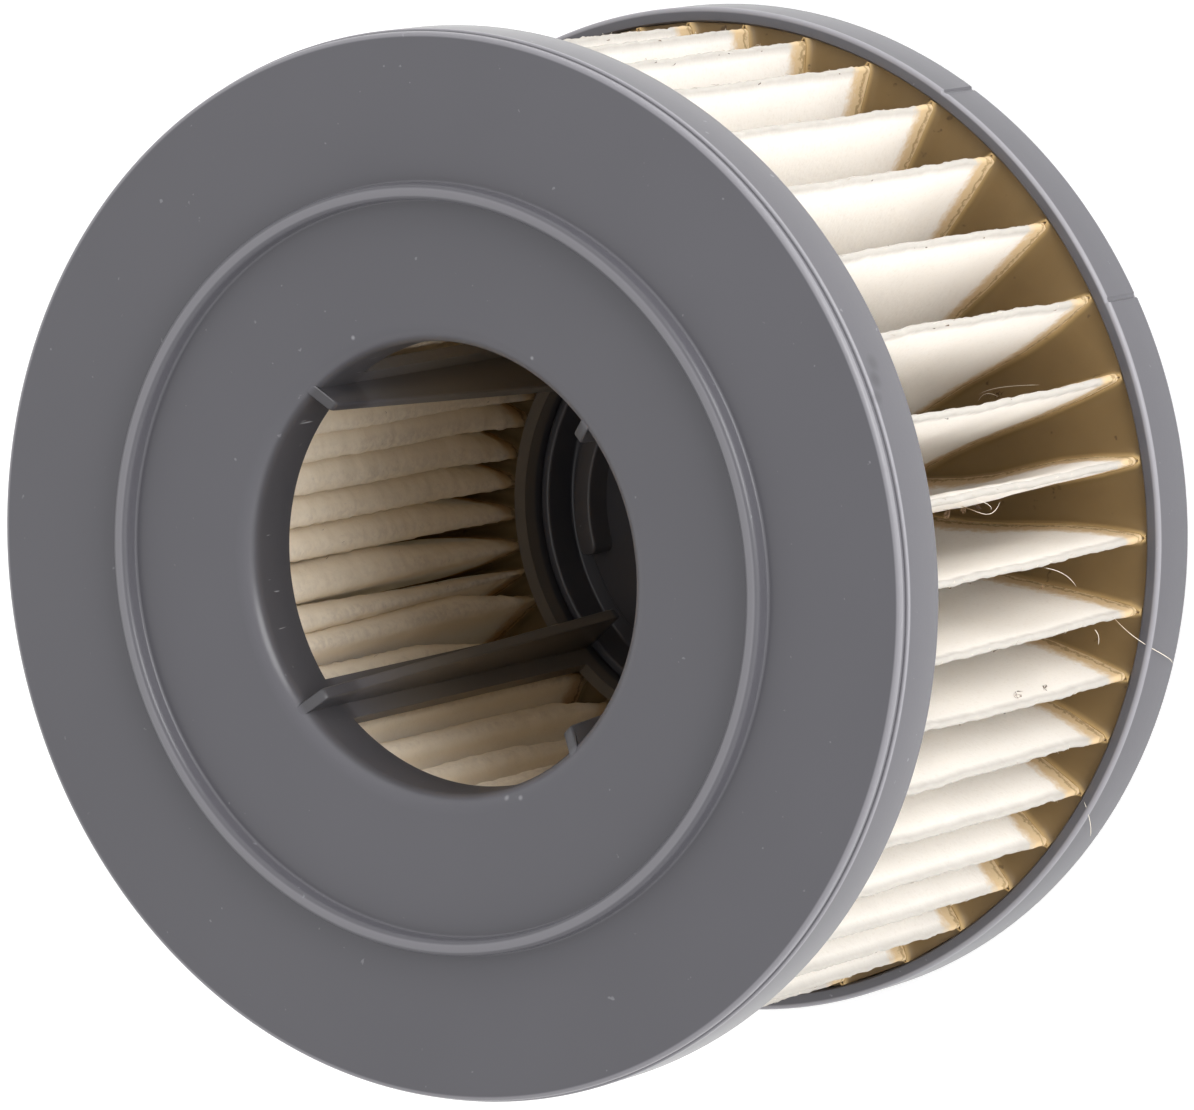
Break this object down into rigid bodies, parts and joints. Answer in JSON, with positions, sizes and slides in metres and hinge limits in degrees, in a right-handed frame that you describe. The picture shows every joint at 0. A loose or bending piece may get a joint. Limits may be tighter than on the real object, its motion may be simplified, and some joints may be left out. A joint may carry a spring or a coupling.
{
  "type": "vacuum hepa filter",
  "caption": "Ring of pleated filter paper between two round moulded end caps: the front open, with a ribbed cage and a sealing bead, the rear closed.",
  "frame": {"origin": "centre of the closed rear face, which is the lowest plane", "axes": "+Z along the ring's axis, from the closed rear cap to the open front face; +X and +Y along two of the four cage ribs"},
  "size_m": [0.13, 0.13, 0.0735],
  "materials": {
    "cap_plastic": "fine satin moulding, slightly bluish mid grey",
    "filter_paper": "matt cream fibre paper, fuzzy along its folds",
    "potting_glue": "tan set glue with a satin surface"
  },
  "bodies": {
    "root": {"front_frame": "cap_plastic", "rear_cap": "cap_plastic", "pleated_media": "filter_paper", "rear_potting": "potting_glue", "front_potting": "potting_glue"}
  },
  "joints": []
}
